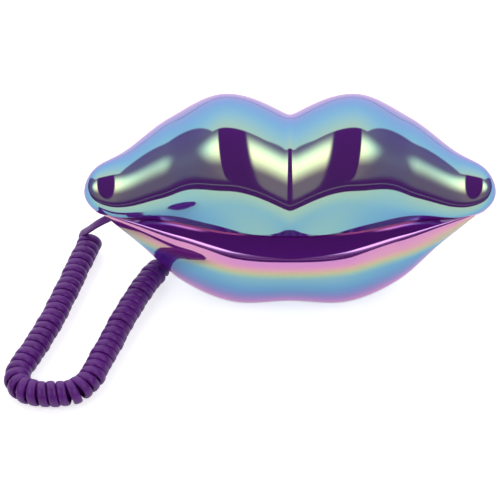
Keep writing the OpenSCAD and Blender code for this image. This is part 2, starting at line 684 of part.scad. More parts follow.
hook_top = cover_z - slide_fit;
hook_flange_z = deck_z - deck_t - hook_travel - slide_fit - flange_t;
hook_stem_r = 2;
switch_box_h = 8;
module hook_plunger() {
    color([0.92, 0.9, 0.95]) {
        soft_block([hook_l, hook_w, hook_top - hook_flange_z], 1, [hook_x, hook_y, hook_flange_z]);
        soft_block([hook_l + 4, hook_w + 4, flange_t], 1, [hook_x, hook_y, hook_flange_z]);
        rod(hook_stem_r, hook_flange_z - board_top - 1, [hook_x, hook_y, board_top + 1]);
    }
}

module hook_spring() {
    z0 = board_top + switch_box_h + 0.1;
    h = hook_flange_z - 0.1 - z0;
    wire = 0.5;
    turns = 6;
    per_turn = 10;
    route = [for (k = [0:turns * per_turn]) let(q = 360 * k / per_turn)
        [hook_x + (hook_stem_r + 1) * cos(q), hook_y + (hook_stem_r + 1) * sin(q),
         z0 + wire + (h - 2 * wire) * k / (turns * per_turn)]];
    color([0.75, 0.75, 0.78]) swept_tube(route, wire, 5);
}

module hook_switch() {
    color([0.12, 0.12, 0.14]) difference() {
        block([14, 10, switch_box_h], [hook_x, hook_y, board_top]);
        rod(hook_stem_r + slide_fit, switch_box_h + 1, [hook_x, hook_y, board_top + 0.6]);
    }
}

base_board_gap = 2;
base_board_w = 38;
base_board_x = 2;
base_board_y = 11;
base_board_l = 2 * (base_board_x - base_jack_x - socket_l - base_board_gap);
base_post_x = base_board_l / 2 - 12;
base_post_y = base_board_w / 2 - 3;
module base_board() {
    color([0.1, 0.4, 0.2]) {
        difference() {
            block([base_board_l, base_board_w, board_t], [base_board_x, base_board_y, board_z]);
            for (s = BASE_SCREWS) rod(boss_r + slide_fit, board_t + 2, [s[0], s[1], board_z - 1]);
        }
        block([12, 8, 3], [-8, 4, board_top]);
        block([8, 8, 9], [10, -2, board_top]);
    }
}

module ringer() {
    color([0.75, 0.7, 0.5]) translate([ringer_x, ringer_y, plate_top]) rotate_extrude($fn = 48)
        polygon([[0, 0.8], [ringer_r - 2, 0.8], [ringer_r - 2, 0], [ringer_r, 0], [ringer_r, 3],
                 [ringer_r - 3, 5.5], [0, 5.5]]);
}

module ballast_weight() {
    color([0.5, 0.5, 0.52]) difference() {
        block([ballast_l, ballast_w, ballast_t], [ballast_x, ballast_y, plate_top]);
        for (x = [-1, 1])
            rod(2.4 + fit, ballast_t + 2, [ballast_x + x * ballast_l / 3, ballast_y, plate_top - 1]);
    }
}

module switch_body(x) {
    color([0.6, 0.6, 0.62]) difference() {
        block([switch_body_l, switch_body_w, switch_body_h],
              [x, switch_face(x) - switch_body_w / 2, board_top]);
        block([knob_l + knob_travel + 2 * slide_fit, 6, knob_h + 2 * slide_fit],
              [x, switch_face(x), knob_z - slide_fit]);
    }
}

module switch_knob(x) {
    color([0.08, 0.08, 0.09]) {
        translate([x - knob_travel / 2 - knob_l / 2, switch_face(x) - 2.5, knob_z])
            cube([knob_l, knob_reach, knob_h]);
    }
}
knob_reach = 2.5 + base_wall + 2;

module line_jack() {
    color([0.9, 0.9, 0.92]) difference() {
        translate([line_jack_x - line_body_w / 2, line_face_y - line_body_l, board_top])
            cube([line_body_w, line_body_l, line_body_h]);
        translate([line_jack_x - line_plug_w / 2, line_face_y - line_body_l + 3, board_top + 2])
            cube([line_plug_w, line_body_l, line_plug_h]);
        translate([line_jack_x - 3, line_face_y - line_body_l + 3, board_top + 2])
            cube([6, line_body_l, line_plug_h + 1.6]);
    }
}

module base_jack() {
    color([0.2, 0.2, 0.22]) translate([base_jack_x, base_jack_y, base_jack_z]) rotate([0, 90, 0])
        cord_socket();
}

module base_plug() {
    color([0.8, 0.8, 0.85]) translate([base_jack_x, base_jack_y, base_jack_z]) rotate([0, 90, 0]) cord_plug();
}

module base_screws() {
    for (s = BASE_SCREWS) screw([s[0], s[1], foot_h], base_shank);
}

// ---- Cord

module curly_coil() {
    color(CORD_COLOR) swept_tube([for (p = COIL_ROUTE) [p[0], p[1], coil_r + 0.05]], coil_r, 12);
}

module handset_lead() {
    color(CORD_COLOR) swept_tube(HANDSET_LEAD, lead_r, 8);
}

module base_lead() {
    color(CORD_COLOR) swept_tube(BASE_LEAD, lead_r, 8);
}

handset_shell();
handset_cover();
for (i = [0:len(KEY_NAMES) - 1]) {
    dial_key(i);
}
function_key(1);  // key_redial
function_key(-1);  // key_flash
key_mat();
handset_board();
earpiece_speaker();
earpiece_gasket();
microphone();
microphone_boot();
handset_jack();
handset_screws();
base_shell();
base_plate();
rubber_feet();
seat_pads();
hook_plunger();
hook_spring();
hook_switch();
base_board();
ringer();
ballast_weight();
switch_body(SWITCH_X[0]);  // ringer_switch
switch_knob(SWITCH_X[0]);  // ringer_knob
switch_body(SWITCH_X[1]);  // tone_switch
switch_knob(SWITCH_X[1]);  // tone_knob
line_jack();
base_jack();
base_screws();
handset_plug();
base_plug();
handset_lead();
base_lead();
curly_coil();
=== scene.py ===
import json
import math

import bmesh
import bpy
from mathutils import Matrix, Vector

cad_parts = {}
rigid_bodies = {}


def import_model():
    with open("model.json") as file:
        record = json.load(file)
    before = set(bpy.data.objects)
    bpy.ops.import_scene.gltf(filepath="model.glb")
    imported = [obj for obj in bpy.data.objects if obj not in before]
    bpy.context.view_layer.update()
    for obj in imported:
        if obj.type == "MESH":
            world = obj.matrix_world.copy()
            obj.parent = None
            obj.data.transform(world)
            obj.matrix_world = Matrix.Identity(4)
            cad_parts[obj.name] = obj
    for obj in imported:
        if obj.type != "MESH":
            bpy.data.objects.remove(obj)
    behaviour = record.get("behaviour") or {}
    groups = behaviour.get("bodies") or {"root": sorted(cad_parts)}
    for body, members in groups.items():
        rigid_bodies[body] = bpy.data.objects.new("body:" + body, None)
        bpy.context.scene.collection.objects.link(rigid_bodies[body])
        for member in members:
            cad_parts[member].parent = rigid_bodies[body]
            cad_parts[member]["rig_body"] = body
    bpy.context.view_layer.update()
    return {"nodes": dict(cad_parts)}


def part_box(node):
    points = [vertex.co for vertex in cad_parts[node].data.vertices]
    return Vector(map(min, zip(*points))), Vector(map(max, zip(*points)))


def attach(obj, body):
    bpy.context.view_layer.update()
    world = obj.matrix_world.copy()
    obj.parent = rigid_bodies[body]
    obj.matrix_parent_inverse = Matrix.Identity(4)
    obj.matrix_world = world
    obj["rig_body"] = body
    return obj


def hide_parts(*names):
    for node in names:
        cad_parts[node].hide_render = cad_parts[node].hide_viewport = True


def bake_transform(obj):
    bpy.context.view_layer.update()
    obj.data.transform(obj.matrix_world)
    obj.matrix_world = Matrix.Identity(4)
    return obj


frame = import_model()
MM = 0.001

# ------------------------------------------------------------------ camera
# the picture's width, height and longer side, in pixels
W = H = L = 500
CAM_TARGET = Vector((0, 12.5, 50)) * MM
CAM_DISTANCE = 0.9
CAM_ELEVATION = 42.0
CAM_LENS = 124.4
CAM_SENSOR = 36.0
CAM_SHIFT_X = -0.08
CAM_SHIFT_Y = -0.136


def make_camera():
    e = math.radians(CAM_ELEVATION)
    back = Vector((0, -math.cos(e), math.sin(e)))
    data = bpy.data.cameras.new("camera")
    data.sensor_fit = "AUTO"
    data.sensor_width = CAM_SENSOR
    data.lens = CAM_LENS
    data.shift_x = CAM_SHIFT_X
    data.shift_y = CAM_SHIFT_Y
    data.clip_end = 20
    cam = bpy.data.objects.new("camera", data)
    cam.location = CAM_TARGET + back * CAM_DISTANCE
    cam.rotation_euler = back.to_track_quat("Z", "Y").to_euler()
    bpy.context.collection.objects.link(cam)
    bpy.context.scene.camera = cam
    bpy.context.view_layer.update()
    return cam


CAM = make_camera()


def pixel(p):
    """Where a point of the frame falls in the picture."""
    q = CAM.matrix_world.inverted() @ Vector(p)
    k = CAM_LENS / CAM_SENSOR * L
    return (W / 2 - CAM_SHIFT_X * L + k * q.x / -q.z, H / 2 + CAM_SHIFT_Y * L - k * q.y / -q.z)


# ------------------------------------------------------------------ material helpers
def material(name, base, rough, metal=0.0, **sockets):
    """A material on the Principled shader; sockets are its other inputs, with _ for a space."""
    m = bpy.data.materials.new(name)
    m.use_nodes = True
    b = m.node_tree.nodes["Principled BSDF"]
    b.inputs["Base Color"].default_value = (*base, 1)
    b.inputs["Roughness"].default_value = rough
    b.inputs["Metallic"].default_value = metal
    for k, v in sockets.items():
        b.inputs[k.replace("_", " ")].default_value = v
    return m


def node(m, kind, **props):
    """A new node of the material, with its properties set."""
    n = m.node_tree.nodes.new(kind)
    for k, v in props.items():
        setattr(n, k, v)
    return n


def link(m, a, b):
    m.node_tree.links.new(a, b)


def principled(m):
    return m.node_tree.nodes["Principled BSDF"]


def object_coords(m, scale):
    """Object coordinates times scale, a number or one per axis."""
    tc = node(m, "ShaderNodeTexCoord")
    mp = node(m, "ShaderNodeMapping")
    mp.inputs["Scale"].default_value = scale if isinstance(scale, tuple) else (scale,) * 3
    link(m, tc.outputs["Object"], mp.inputs["Vector"])
    return mp.outputs["Vector"]


def noise(m, scale, detail=4.0, rough=0.55):
    """Noise with scale cells per metre."""
    n = node(m, "ShaderNodeTexNoise")
    n.inputs["Scale"].default_value = 1.0
    n.inputs["Detail"].default_value = detail
    n.inputs["Roughness"].default_value = rough
    link(m, object_coords(m, scale), n.inputs["Vector"])
    return n.outputs["Fac"]


def ramp(m, fac, stops):
    """A colour by fac; stops are (place, colour)."""
    r = node(m, "ShaderNodeValToRGB")
    els = r.color_ramp.elements
    while len(els) < len(stops):
        els.new(0.5)
    for e, (p, c) in zip(els, stops):
        e.position = p
        e.color = (*c, 1) if len(c) == 3 else c
    link(m, fac, r.inputs["Fac"])
    return r.outputs["Color"]


def bump(m, height, strength, distance):
    """Relief by height, distance metres deep."""
    b = node(m, "ShaderNodeBump")
    b.inputs["Strength"].default_value = strength
    b.inputs["Distance"].default_value = distance
    link(m, height, b.inputs["Height"])
    link(m, b.outputs["Normal"], principled(m).inputs["Normal"])


def vary_rough(m, fac, rough):
    """Roughness between the two values of rough, by fac."""
    greys = ramp(m, fac, [(0.3, (rough[0],) * 3), (0.7, (rough[1],) * 3)])
    link(m, greys, principled(m).inputs["Roughness"])


def vary(m, base, spread, scale, rough):
    """Colour that drifts round base, and roughness round rough, by noise at scale per metre."""
    f = noise(m, scale)
    lo = tuple(c * (1 - spread) for c in base)
    hi = tuple(min(1, c * (1 + spread)) for c in base)
    link(m, ramp(m, f, [(0.3, lo), (0.7, hi)]), principled(m).inputs["Base Color"])
    vary_rough(m, f, rough)


# ------------------------------------------------------------------ lip surfaces
# The forms are those of part.scad, but for the slope and bend at the front of the lower lip. Sections stand
# at angles t from the middle, where x is half the length times sin t. Each list has a value every STEP
# degrees from the middle to the tip, LAST being its last stretch. Lengths are in mm.
STEP, LAST = 18, 4
# half the upper and the lower lip's length, and the angle of the last section
HALF_L, HALF_BASE, END_T = 105.0, 95.5, 87.0
# how rounded the crease is, how long the rim takes to close at a tip, and how the skirt curves
FOLD_SOFT, TIP_RUN, SKIRT_POWER = 0.05, 12.0, 1.6
# heights of the mouth, the base's deck and its floor, and how high the base is at least
MOUTH_Z, DECK_Z, FOOT_H, BASE_MIN_H = 50.0, 49.4, 2.0, 1.2
# radius of the heel, and its largest share of the height under the deck
HEEL_R, HEEL_SHARE = 16.0, 0.6
# how far the lower lip's line lies behind the upper's, the shells' wall, and the deck's thickness
LOWER_INSET, WALL, DECK_T = 1.5, 2.6, 3
# the upper lip's roll: its radius, its centre's height over the mouth, and its front behind the mouth line
UPPER_ROLL = [34, 34, 29, 20.5, 11.5, 0]
UPPER_RISE = [8, 18.5, 8.5, 2.5, 7.5, 9]
UPPER_LEAN = [-0.5, 0, -2, -3, -1.5, 6.5]
# where the mouth line runs in y
LINE_Y = [-28.5, -25, -17, -14, -12.5, -11.5]
# the lower lip's roll: its radius, its centre's depth under the deck, and its front before the lip's line
LOWER_ROLL = [34, 36, 25, 13, 3.5, 0.5]
LOWER_DROP = [17.5, 20, 19.5, 8.5, 2.5, 0.5]
LOWER_POUT = [16, 17, 15, 7, 2.5, 0]
# how far the base reaches behind that line
LOWER_BACK = [64, 65, 50, 20.5, 4, 2]
# in front of the mouth line the moulding runs forward as a gentle slope, turns down in a tight bend, and goes
# over into the big roll; LIP_BAND is how deep slope and bend together look from the camera's height
LIP_BAND = [11.9, 12.6, 10.4, 5.2, 1.6, 0.2]
MIN_BAND = 0.15
# how far up the surface looks on the slope and where the bend ends, in degrees; the bend's radius by band
BAND_TOP, BAND_END = 68.5, 21.0
BEND_SHARE = 1 / 3
UPPER_Y = [line + roll + lean for line, roll, lean in zip(LINE_Y, UPPER_ROLL, UPPER_LEAN)]


def sind(q):
    return math.sin(math.radians(q))


def cosd(q):
    return math.cos(math.radians(q))


def spline(a, b, c, d, f):
    """Catmull-Rom from b to c."""
    return b + f / 2 * (c - a + f * (2 * a - 5 * b + 4 * c - d + f * (3 * (b - c) + d - a)))


def at_station(v, i):
    """The list's value at station i, carried on in a straight line past its end."""
    return v[i] if i < len(v) else 2 * v[-1] - v[-2]


def soft_abs(u):
    """|u| with a rounded corner, from 0 to 1."""
    s = FOLD_SOFT
    return (math.sqrt(u * u + s * s) - s) / (math.sqrt(1 + s * s) - s)


def along(v, t):
    """The list's value at angle t, smooth across the middle."""
    s = abs(t) / STEP
    i = min(int(s), LAST)
    a = v[1] if i == 0 else v[i - 1]
    return spline(a, v[i], v[i + 1], at_station(v, i + 2), s - i)


def folded(v, t):
    """The list's value at angle t, with the crease between the lobes in the middle."""
    s = abs(t) / STEP
    if s < 1:
        return v[0] + (v[1] - v[0]) * sind(90 * soft_abs(sind(abs(t)) / sind(STEP)))
    i = min(int(s), LAST)
    a = v[2] if i == 1 else v[i - 1]
    return spline(a, v[i], v[i + 1], at_station(v, i + 2), s - i)


def upper_parts(t):
    """Place, radius and centre of the upper lip's roll at angle t, then its rim's height, front and back."""
    x = HALF_L * sind(t)
    r = folded(UPPER_ROLL, t)
    y = folded(UPPER_Y, t)
    z = MOUTH_Z + folded(UPPER_RISE, t)
    u = max(0.0, (abs(x) - HALF_L + TIP_RUN) / TIP_RUN)
    share = math.sqrt(max(0.0, 1 - u * u))
    rim_z = z + (MOUTH_Z - z) * share
    rim_front = y + (along(LINE_Y, t) - y) * share
    return x, r, y, z, rim_z, rim_front, y + r


def seen_height(y, z):
    """How high a point of the section lies across the camera's line of sight."""
    return y * sind(CAM_ELEVATION) + z * cosd(CAM_ELEVATION)


def lower_parts(t):
    """Place, radius and centre of the lower lip's roll at angle t, then its line, bend, heel and floor."""
    x = HALF_BASE * sind(t)
    r_cad = along(LOWER_ROLL, t)
    line = along(LINE_Y, t) + LOWER_INSET
    z_cad = DECK_Z - along(LOWER_DROP, t)
    y_cad = line - along(LOWER_POUT, t) + r_cad
    back = line + along(LOWER_BACK, t)
    floor = min(DECK_Z - BASE_MIN_H, max(FOOT_H, z_cad - r_cad))
    # slope and bend take up the band; the roll below them keeps the CAD part's outline from the front
    band = max(MIN_BAND, along(LIP_BAND, t))
    bend = band * BEND_SHARE
    turned = seen_height(cosd(BAND_END) - cosd(BAND_TOP), sind(BAND_TOP) - sind(BAND_END))
    run = (band - bend * turned) / seen_height(sind(BAND_TOP), cosd(BAND_TOP))
    lowest = seen_height(y_cad, z_cad) - r_cad
    r = (seen_height(line, DECK_Z) - band - lowest) / (1 - sind(CAM_ELEVATION - BAND_END))
    slope_end = (line - run * sind(BAND_TOP), DECK_Z - run * cosd(BAND_TOP))
    pivot = (slope_end[0] + bend * cosd(BAND_TOP), slope_end[1] - bend * sind(BAND_TOP))
    y = pivot[0] + (r - bend) * cosd(BAND_END)
    z = pivot[1] - (r - bend) * sind(BAND_END)
    return x, r, y, z, line, bend, pivot, back, floor


def mesh_object(name, verts, faces, mats=(), smooth=True):
    """An object of these vertices, in metres, and faces."""
    me = bpy.data.meshes.new(name)
    me.from_pydata([tuple(v) for v in verts], [], faces)
    me.update()
    ob = bpy.data.objects.new(name, me)
    bpy.context.collection.objects.link(ob)
    for m in mats:
        me.materials.append(m)
    if smooth:
        me.polygons.foreach_set("use_smooth", [True] * len(me.polygons))
    return ob


def grid_faces(rows, cols):
    """Faces between rows of vertices, each row a closed ring."""
    out = []
    for i in range(rows - 1):
        for j in range(cols):
            a, b = i * cols + j, i * cols + (j + 1) % cols
            out.append((a, b, b + cols, a + cols))
    return out


def recalc(ob):
    """Turns all faces outwards."""
    bm = bmesh.new()
    bm.from_mesh(ob.data)
    bmesh.ops.recalc_face_normals(bm, faces=bm.faces)
    bm.to_mesh(ob.data)
    bm.free()


# ------------------------------------------------------------------ the cord
def catmull(points, per):
    """A smooth curve through the points, with per steps from one to the next."""
    pts = [Vector(p) for p in points]
    out = []
    for i in range(len(pts) - 1):
        p0 = pts[i - 1] if i else pts[0] * 2 - pts[1]
        p3 = pts[i + 2] if i + 2 < len(pts) else pts[-1] * 2 - pts[-2]
        p1, p2 = pts[i], pts[i + 1]
        for k in range(per):
            f = k / per
            out.append(spline(p0, p1, p2, p3, f))
    out.append(pts[-1])
    return out


def resample(points, n):
    """n points at even distances along the line."""
    acc = [0.0]
    for a, b in zip(points, points[1:]):
        acc.append(acc[-1] + (b - a).length)
    out, j = [], 0
    for k in range(n):
        s = acc[-1] * k / (n - 1)
        while j < len(acc) - 2 and acc[j + 1] < s:
            j += 1
        f = (s - acc[j]) / max(1e-12, acc[j + 1] - acc[j])
        out.append(points[j].lerp(points[j + 1], min(1, max(0, f))))
    return out


# centres of the coil and of the leads, in mm, as in part.scad
COIL_ROUTE = [(-107, 14), (-110, 2), (-113.5, -12), (-117, -26), (-121, -41), (-126, -57), (-131.5, -71),
              (-135, -81), (-134, -89.5), (-126, -94.5), (-115, -95), (-106, -93.5), (-99.5, -86),
              (-95.5, -75), (-91.5, -63), (-87, -49), (-82.5, -36), (-77.5, -24), (-73, -14), (-69, -8)]
HANDSET_LEAD = [(-83.5, 4, 44), (-83.5, 4, 41), (-87, 4.7, 36), (-94.5, 6.5, 30.5), (-102, 8.8, 23.5),
                (-107.5, 11.6, 16.5)]
BASE_LEAD = [(-71.2, 3, 13), (-71, 6.5, 14.8), (-68, 8, 16), (-64.5, 8, 16)]
COIL_R = 6.75
WIRE_W, WIRE_T = 4.5, 2.4
COIL_TURNS = 49
PER_TURN = 24
WIRE_SIDES = 14
# the coil clears the table, and the wire stays inside the coil's radius by the slack that its turns vary in
COIL_CLEAR, TURN_SLACK = 0.05, 0.28
# how the turns vary: radius in mm, radians per turn and start
WOBBLE = [(0.16, 2.4, 0), (0.12, 5.1, 1)]
# how square the wire's section is across and through, where 1 is an ellipse
SQUARE_W, SQUARE_T = 0.75, 0.85
ROUTE_POINTS = 400
# where the first lead comes down from, seen from the coil's start
LEAD_ABOVE = (0.25, -0.6, 3.6)


def cord_path():
    """Centres of the coil's wire in mm, with the outward direction at each."""
    route = resample(catmull([(x, y, COIL_R + COIL_CLEAR) for x, y in COIL_ROUTE], 12), ROUTE_POINTS)
    n = COIL_TURNS * PER_TURN
    rc = COIL_R - WIRE_T / 2
    up = Vector((0, 0, 1))
    coil, outs = [], []
    for k in range(n + 1):
        s = k / n
        at = s * (len(route) - 1)
        i = min(int(at), len(route) - 2)
        c = route[i].lerp(route[i + 1], at - i)
        d = (route[min(i + 2, len(route) - 1)] - route[max(i - 1, 0)]).normalized()
        side = d.cross(up).normalized()
        q = math.radians(360 * COIL_TURNS * s)
        turn = COIL_TURNS * s
        wobble = sum(by * math.sin(rate * turn + start) for by, rate, start in WOBBLE)
        r = rc - TURN_SLACK + wobble
        # starts at the coil's left, going down: a right-handed helix
        o = side * math.cos(q) - up * math.sin(q)
        coil.append(c + o * r)
        outs.append(o)
    return coil, outs


coil, outs = cord_path()
lead_a = catmull([*HANDSET_LEAD, coil[0] + Vector(LEAD_ABOVE), coil[0]], 8)[:-1]
lead_b = catmull([coil[-1], *BASE_LEAD], 8)[1:]
CENTRES = lead_a + coil + lead_b


def flat_wire(name, centres, first_out, coil_outs, last_out, mat):
    """A flat wire with rounded edges swept along centres. Its flat side faces out from the coil, and turns to
    first_out and last_out over the leads.
    """
    n = len(centres)
    out_dirs = []
    na, nb = len(lead_a), len(lead_b)
    for i in range(n):
        if i < na:
            f = i / na
            o = first_out.lerp(coil_outs[0], f * f * (3 - 2 * f))
        elif i < na + len(coil_outs):
            o = coil_outs[i - na]
        else:
            f = (i - na - len(coil_outs) + 1) / nb
            o = coil_outs[-1].lerp(last_out, f * f * (3 - 2 * f))
        out_dirs.append(o)
    verts = []
    for i, c in enumerate(centres):
        d = (centres[min(i + 1, n - 1)] - centres[max(i - 1, 0)]).normalized()
        o = (out_dirs[i] - d * out_dirs[i].dot(d)).normalized()
        w = d.cross(o)
        for k in range(WIRE_SIDES):
            a = 2 * math.pi * k / WIRE_SIDES
            ca, sa = math.cos(a), math.sin(a)
            u = math.copysign(abs(ca) ** SQUARE_W, ca) * WIRE_W / 2
            v = math.copysign(abs(sa) ** SQUARE_T, sa) * WIRE_T / 2
            verts.append((c + w * u + o * v) * MM)
    faces = grid_faces(n, WIRE_SIDES)
    faces.append(tuple(range(WIRE_SIDES - 1, -1, -1)))
    faces.append(tuple((n - 1) * WIRE_SIDES + k for k in range(WIRE_SIDES)))
    ob = mesh_object(name, verts, faces, [mat])
    recalc(ob)
    return ob


def cord_material():
    """Soft purple vinyl with a faint grain."""
    m = material("cord_vinyl", (0.14, 0.009, 0.26), 0.36, Specular_IOR_Level=0.5)
    vary(m, (0.14, 0.009, 0.26), 0.12, 90, (0.3, 0.42))
    bump(m, noise(m, 1400, 2), 0.12, 0.0002)
    return m


CORD_MAT = cord_material()
cord = flat_wire("curly_cord", CENTRES, first_out=Vector((-0.2, -0.6, 0.6)).normalized(), coil_outs=outs,
                 last_out=Vector((0, 0.3, 1)).normalized(), mat=CORD_MAT)
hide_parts("curly_coil", "handset_lead", "base_lead")
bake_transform(cord)


# ------------------------------------------------------------------ smooth lips
def arc(centre, rad, a, b, n):
    """Points of a section from angle a to b, where 0 looks forward and 90 up."""
    return [(centre[0] - rad * cosd(a + (b - a) * k / n), centre[1] + rad * sind(a + (b - a) * k / n))
            for k in range(n + 1)]


def upper_ring(t, hollow, skirt_n, roll_n):
    """One section of the upper lip, outside and then inside."""
    x, r, y, z, rim_z, rim_front, rim_back = upper_parts(t)

    def skirt(inset):
        y1 = y - r
        return [(y1 + (rim_front - y1) * (1 - k / skirt_n) ** SKIRT_POWER + inset,
                 rim_z + (z - rim_z) * k / skirt_n)
                for k in range(skirt_n)]

    outer = skirt(0) + arc((y, z), r, 0, 180, roll_n)
    outer.append((rim_back, rim_z))
    if hollow:
        inner = [(rim_back - WALL, rim_z)]
        inner += arc((y, z), r - WALL, 180, 0, roll_n)
        inner += skirt(WALL)[::-1]
    else:
        # the solid tips are a little hollow underneath
        n = roll_n + skirt_n + 2
        arch = 0.3 * (z - rim_z + r) / 11.0
        inner = [(rim_back + (rim_front - rim_back) * k / (n + 1), rim_z + arch * sind(180 * k / (n + 1)))
                 for k in range(1, n + 1)]
    return [(x, p[0], p[1]) for p in outer + inner]


def lower_ring(t, hollow, roll_n, band_n, heel_n):
    """One section of the lower lip, outside and then inside."""
    x, r, y, z, line, bend, pivot, back, floor = lower_parts(t)

    def meets(rad):
        """The angle at which a roll of this radius meets the floor."""
        return -math.degrees(math.asin(min(1, max(-1, (z - floor) / rad))))

    def heel(inset):
        """The rounded back edge; the inside's runs down to the floor too, as the shell is open below."""
        rr = min(HEEL_R, (DECK_Z - floor) * HEEL_SHARE)
        return [(back - rr + (rr - inset) * cosd(90 * k / heel_n), floor + rr - rr * sind(90 * k / heel_n))
                for k in range(heel_n + 1)]

    bent = arc(pivot, bend, BAND_END, BAND_TOP, band_n)
    y1, z1 = bent[-1]
    front = bent[1:] + [(y1 + (line - y1) * k / band_n, z1 + (DECK_Z - z1) * k / band_n)
                        for k in range(1, band_n + 1)]
    outer = arc((y, z), r, meets(r), BAND_END, roll_n) + front + [(back, DECK_Z)] + heel(0)
    if hollow:
        ri = r - WALL
        inner = heel(WALL)[::-1] + [(back - WALL, DECK_Z - DECK_T)]
        inner += [(p[0] + WALL, min(DECK_Z - DECK_T, p[1])) for p in front[::-1]]
        inner += arc((y, z), ri, BAND_END, meets(ri), roll_n)
    else:
        # the solid tips are a little hollow underneath
        n = len(outer)
        a, b = heel(0)[-1], outer[0]
        arch = min(0.5, (DECK_Z - floor) / 4)
        inner = [(a[0] + (b[0] - a[0]) * k / (n + 1), floor + arch * sind(180 * k / (n + 1)))
                 for k in range(1, n + 1)]
    return [(x, p[0], p[1]) for p in outer + inner]


def shell(name, ring_of, hollow_t, ends, inner, dense, mat):
    """Lofts rings from tip to tip, like part.scad, but finer, and with more of them at the angles in dense.

    It is hollow between -hollow_t and hollow_t. ends and inner count the steps in its solid and hollow parts.
    """
    ts = [(-END_T + (END_T - hollow_t) * k / ends, False) for k in range(ends + 1)]
    mid = [-(hollow_t - 0.5) + 2 * (hollow_t - 0.5) * k / inner for k in range(inner + 1)]
    mid += [q * s for q in dense for s in (-1, 1)]
    ts += [(t, True) for t in sorted(set(mid))]
    ts += [(hollow_t + (END_T - hollow_t) * k / ends, False) for k in range(ends + 1)]
    rings = [ring_of(t, h) for t, h in ts]
    cols = len(rings[0])
    verts = [Vector(p) * MM for r in rings for p in r]
    faces = grid_faces(len(rings), cols)
    faces.append(tuple(range(cols - 1, -1, -1)))
    faces.append(tuple((len(rings) - 1) * cols + k for k in range(cols)))
    ob = mesh_object(name, verts, faces, [mat])
    recalc(ob)
    return ob


def cutter_box(lo, hi):
    """A block to cut away, between two corners in mm."""
    x0, y0, z0 = (c * MM for c in lo)
    x1, y1, z1 = (c * MM for c in hi)
    v = [(x, y, z) for x in (x0, x1) for y in (y0, y1) for z in (z0, z1)]
    f = [(0, 1, 3, 2), (4, 6, 7, 5), (0, 4, 5, 1), (2, 3, 7, 6), (0, 2, 6, 4), (1, 5, 7, 3)]
    ob = mesh_object("cutter", v, f, smooth=False)
    recalc(ob)
    return ob


def cutter_rod(r, z0, z1, at):
    """An upright round bar to cut away, in mm."""
    n = ROD_SIDES
    turns = [2 * math.pi * k / n for k in range(n)]
    ring = [(at[0] + r * math.cos(q), at[1] + r * math.sin(q)) for q in turns]
    v = [(x * MM, y * MM, z * MM) for z in (z0, z1) for x, y in ring]
    f = [(k, (k + 1) % n, (k + 1) % n + n, k + n) for k in range(n)]
    f += [tuple(range(n - 1, -1, -1)), tuple(range(n, 2 * n))]
    ob = mesh_object("cutter", v, f, smooth=False)
    recalc(ob)
    return ob


def cut(ob, cutters):
    """Cuts the blocks and bars out of ob, and deletes them."""
    bpy.context.view_layer.update()
    for c in cutters:
        md = ob.modifiers.new("cut", "BOOLEAN")
        md.operation = "DIFFERENCE"
        md.solver = "EXACT"
        md.object = c
    dg = bpy.context.evaluated_depsgraph_get()
    me = bpy.data.meshes.new_from_object(ob.evaluated_get(dg))
    ob.modifiers.clear()
    ob.data = me
    for c in cutters:
        bpy.data.objects.remove(c)


def sharpen(ob):
    """Smooth shading, with edges of more than SHARP_ANGLE left sharp."""
    ob.data.polygons.foreach_set("use_smooth", [True] * len(ob.data.polygons))
    ob.data.set_sharp_from_angle(angle=math.radians(SHARP_ANGLE))


def lustre_material(name, **film):
    """A deep purple gloss under a thin clear film, whose colour of reflection changes with the angle."""
    return material(name, LUSTRE_BASE, LUSTRE_ROUGH, IOR=LUSTRE_IOR, Thin_Film_IOR=FILM_IOR, **film)


def film_over_height(m, stops):
    """The lower lip's film gets thicker towards the top: stops are (height in mm, thickness in nm)."""
    tc = node(m, "ShaderNodeTexCoord")
    sep = node(m, "ShaderNodeSeparateXYZ")
    link(m, tc.outputs["Object"], sep.inputs[0])
    last = None
    for (z0, d0), (z1, d1) in zip(stops, stops[1:]):
        n = node(m, "ShaderNodeMapRange", interpolation_type="SMOOTHSTEP")
        # the first step gives a thickness, and each one after it adds to that
        start, end = (0, d1 - d0) if last else (d0, d1)
        for k, w in zip(("From Min", "From Max", "To Min", "To Max"), (z0 * MM, z1 * MM, start, end)):
            n.inputs[k].default_value = w
        link(m, sep.outputs["Z"], n.inputs["Value"])
        if last:
            add = node(m, "ShaderNodeMath", operation="ADD")
            link(m, last, add.inputs[0])
            link(m, n.outputs["Result"], add.inputs[1])
            last = add.outputs[0]
        else:
            last = n.outputs["Result"]
    link(m, last, principled(m).inputs["Thin Film Thickness"])


ROD_SIDES, SHARP_ANGLE = 48, 35
LUSTRE_BASE, LUSTRE_ROUGH, LUSTRE_IOR, FILM_IOR = (0.20, 0.008, 0.42), 0.05, 6.0, 1.5
# the film's thickness in nm, on the lower lip by height in mm
UPPER_FILM, LOWER_FILM = 368, [(4, 348), (30, 370), (40, 458)]
LUSTRE = lustre_material("lustre", Thin_Film_Thickness=UPPER_FILM)
LUSTRE_LOWER = lustre_material("lustre_lower")
film_over_height(LUSTRE_LOWER, LOWER_FILM)
# angles of the added sections near the crease
DENSE = [0.15, 0.3, 0.5, 0.7, 0.9, 1.15, 1.4, 1.7, 2.0, 2.4]
upper = shell("upper_lip", lambda t, h: upper_ring(t, h, skirt_n=8, roll_n=48),
              hollow_t=62, ends=14, inner=76, dense=DENSE, mat=LUSTRE)
lower = shell("lower_lip", lambda t, h: lower_ring(t, h, roll_n=24, band_n=10, heel_n=8),
              hollow_t=33, ends=30, inner=64, dense=[], mat=LUSTRE_LOWER)
